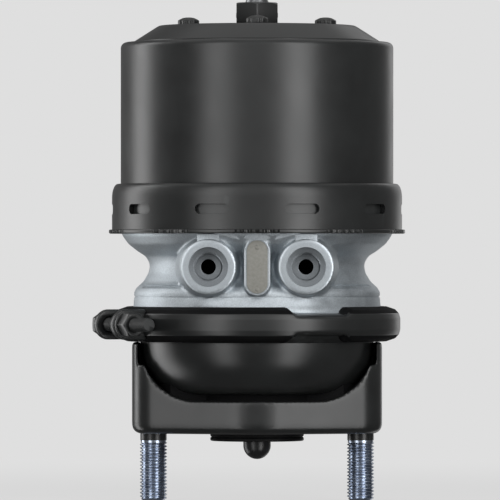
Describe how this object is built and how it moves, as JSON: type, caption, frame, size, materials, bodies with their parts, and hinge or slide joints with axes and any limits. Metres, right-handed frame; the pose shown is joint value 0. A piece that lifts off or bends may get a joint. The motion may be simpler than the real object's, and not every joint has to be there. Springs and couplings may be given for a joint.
{
  "type": "combination brake cylinder",
  "caption": "Air brake cylinder for a disc brake: a spring parking chamber over a service chamber, joined by a cast port flange and a clamp ring, with a studded bracket and push rod.",
  "frame": {"origin": "on the cylinder's axis, in the plane of the bracket's mounting face", "axes": "+Z along the cylinder's axis towards the release screw; the air ports face -Y; the studs lie along X"},
  "size_m": [0.1816, 0.1726, 0.2957],
  "materials": {
    "black_steel": "black electrocoat, semi-gloss",
    "cast_aluminium": "die cast, blasted",
    "zinc_plated_steel": "blue zinc plate",
    "bare_steel": "bare steel",
    "black_rubber": "matt black rubber",
    "guide_plastic": "natural acetal",
    "brass_sheet": "rolled sheet",
    "blank_plate": "matt coated plate, blank",
    "spring_steel": "phosphated and painted spring steel"
  },
  "bodies": {
    "root": {"service_housing": "black_steel", "stud_left": "zinc_plated_steel", "stud_right": "zinc_plated_steel", "mounting_seal": "black_rubber", "rod_boot": "black_rubber", "boot_ring": "bare_steel", "return_spring": "spring_steel", "diaphragm": "black_rubber", "flange_housing": "cast_aluminium", "data_plate": "blank_plate", "housing_o_ring": "black_rubber", "spring_housing": "black_steel", "locking_ring": "black_steel", "top_cover": "black_steel", "upper_spring_seat": "bare_steel", "cover_screw_front": "black_steel", "cover_screw_right": "black_steel", "cover_screw_back": "black_steel", "cover_screw_left": "black_steel", "thrust_washer": "brass_sheet", "spindle_nut": "bare_steel", "tube_seal": "black_rubber", "tube_guide_bush": "guide_plastic", "power_spring": "spring_steel", "clamp_ring": "black_steel", "clamp_bolt": "black_steel", "clamp_nut": "black_steel", "clamp_washer": "black_steel"},
    "parking_piston": {"parking_piston": "cast_aluminium", "piston_seal": "black_rubber", "piston_guide_ring": "guide_plastic", "breather_valve": "guide_plastic", "piston_tube": "bare_steel", "tube_end_plug": "bare_steel"},
    "push_rod": {"push_rod": "bare_steel", "pressure_plate": "bare_steel"},
    "release_spindle": {"release_spindle": "bare_steel", "release_hex_nut": "black_steel", "roll_pin": "bare_steel"}
  },
  "joints": [
    {"name": "parking_stroke", "type": "slide", "parent": "root", "child": "parking_piston", "axis": [0, 0, -1], "range_m": [0, 0.057], "deforming": ["power_spring"]},
    {"name": "push_rod_stroke", "type": "slide", "parent": "root", "child": "push_rod", "axis": [0, 0, -1], "range_m": [0, 0.057], "stiffness_N_per_m": 1500, "springref_m": -0.04, "deforming": ["return_spring", "rod_boot", "diaphragm"]},
    {"name": "release_spindle_turn", "type": "hinge", "parent": "root", "child": "release_spindle", "pos_m": [0, 0, 0.24], "axis": [0, 0, 1], "continuous": true}
  ],
  "couplings": [
    {"joint": "push_rod_stroke", "follows": "parking_stroke", "ratio": 1}
  ]
}
